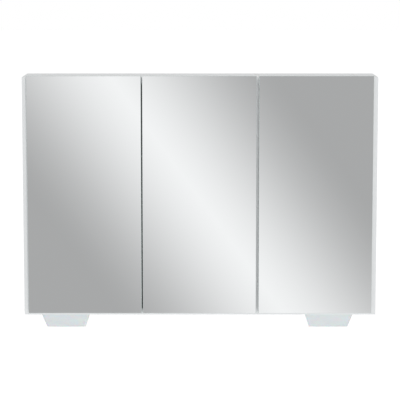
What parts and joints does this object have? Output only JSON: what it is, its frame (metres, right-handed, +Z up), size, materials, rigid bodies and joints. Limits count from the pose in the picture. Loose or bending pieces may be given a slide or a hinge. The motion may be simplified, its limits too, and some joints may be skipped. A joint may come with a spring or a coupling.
{
  "type": "medicine cabinet with mirror",
  "caption": "Wall-hung bathroom cabinet with mirror doors on concealed hinges, glass shelves inside, hangers behind and lamp pods below.",
  "frame": {"origin": "on the wall plane, centre of the four screw holes of the two wall plates", "axes": "+X to the right seen from the front, +Y into the wall, +Z up; the mirror doors face -Y"},
  "size_m": [0.9, 0.16, 0.657],
  "materials": {
    "carcass": "white melamine-faced board, satin",
    "back_board": "thin fibreboard, faced white inside and raw on the wall side",
    "door_board": "white melamine-faced board, satin",
    "mirror": "silvered float glass with ground edges",
    "shelf_glass": "clear float glass, ground edges",
    "nickel": "nickel-plated steel",
    "hinge_steel": "nickel-plated pressed steel",
    "zinc_steel": "zinc-plated steel",
    "wood": "fluted beech dowel",
    "white_plastic": "moulded plastic, fine texture",
    "black_plastic": "moulded plastic",
    "lamp_plastic": "light grey moulded plastic",
    "lamp_opal": "opal light grey acrylic",
    "led_board": "white solder mask",
    "led": "phosphor over a white package",
    "bumper": "translucent soft plastic"
  },
  "bodies": {
    "cabinet": {"side_left": "carcass", "side_right": "carcass", "top_panel": "carcass", "bottom_panel": "carcass", "partition": "carcass", "back_panel": "back_board", "wide_shelf_lower": "shelf_glass", "wide_shelf_upper": "shelf_glass", "narrow_shelf_lower": "shelf_glass", "narrow_shelf_upper": "shelf_glass", "shelf_pins": "nickel", "carcass_dowels": "wood", "cam_bolts": "nickel", "cam_discs": "nickel", "partition_screws": "nickel", "cover_caps": "white_plastic", "hanger_housings": "white_plastic", "hanger_hooks": "zinc_steel", "hanger_screws": "nickel", "wall_plates": "zinc_steel", "cable_grommet": "black_plastic", "lamp_base_left": "lamp_plastic", "lamp_base_right": "lamp_plastic", "lamp_lens_left": "lamp_opal", "lamp_lens_right": "lamp_opal", "led_boards": "led_board", "led_chips": "led", "lamp_drivers": "black_plastic", "lamp_screws": "nickel", "left_hinge_plates": "hinge_steel", "middle_hinge_plates": "hinge_steel", "right_hinge_plates": "hinge_steel", "left_hinge_arms": "hinge_steel", "middle_hinge_arms": "hinge_steel", "right_hinge_arms": "hinge_steel", "plate_screws": "nickel", "arm_screws": "nickel", "arm_pins": "nickel"},
    "left_links": {"left_hinge_links": "hinge_steel"},
    "left_door": {"left_door_board": "door_board", "left_mirror": "mirror", "left_hinge_cups": "hinge_steel", "left_cup_pins": "nickel", "left_cup_screws": "nickel", "left_bumpers": "bumper"},
    "middle_links": {"middle_hinge_links": "hinge_steel"},
    "middle_door": {"middle_door_board": "door_board", "middle_mirror": "mirror", "middle_hinge_cups": "hinge_steel", "middle_cup_pins": "nickel", "middle_cup_screws": "nickel", "middle_bumpers": "bumper"},
    "right_links": {"right_hinge_links": "hinge_steel"},
    "right_door": {"right_door_board": "door_board", "right_mirror": "mirror", "right_hinge_cups": "hinge_steel", "right_cup_pins": "nickel", "right_cup_screws": "nickel", "right_bumpers": "bumper"}
  },
  "joints": [
    {"name": "left_link_turn", "type": "hinge", "parent": "cabinet", "child": "left_links", "pos_m": [-0.403, -0.13, 0], "axis": [0, 0, 1], "range_deg": [0, 48]},
    {"name": "left_door_swing", "type": "hinge", "parent": "left_links", "child": "left_door", "pos_m": [-0.425, -0.145, 0], "axis": [0, 0, -1], "range_deg": [0, 144]},
    {"name": "middle_link_turn", "type": "hinge", "parent": "cabinet", "child": "middle_links", "pos_m": [0.10867, -0.13, 0], "axis": [0, 0, -1], "range_deg": [0, 48]},
    {"name": "middle_door_swing", "type": "hinge", "parent": "middle_links", "child": "middle_door", "pos_m": [0.13067, -0.145, 0], "axis": [0, 0, 1], "range_deg": [0, 144]},
    {"name": "right_link_turn", "type": "hinge", "parent": "cabinet", "child": "right_links", "pos_m": [0.403, -0.13, 0], "axis": [0, 0, -1], "range_deg": [0, 48]},
    {"name": "right_door_swing", "type": "hinge", "parent": "right_links", "child": "right_door", "pos_m": [0.425, -0.145, 0], "axis": [0, 0, 1], "range_deg": [0, 144]}
  ],
  "couplings": [
    {"joint": "left_link_turn", "follows": "left_door_swing", "ratio": 0.33333},
    {"joint": "middle_link_turn", "follows": "middle_door_swing", "ratio": 0.33333},
    {"joint": "right_link_turn", "follows": "right_door_swing", "ratio": 0.33333}
  ]
}
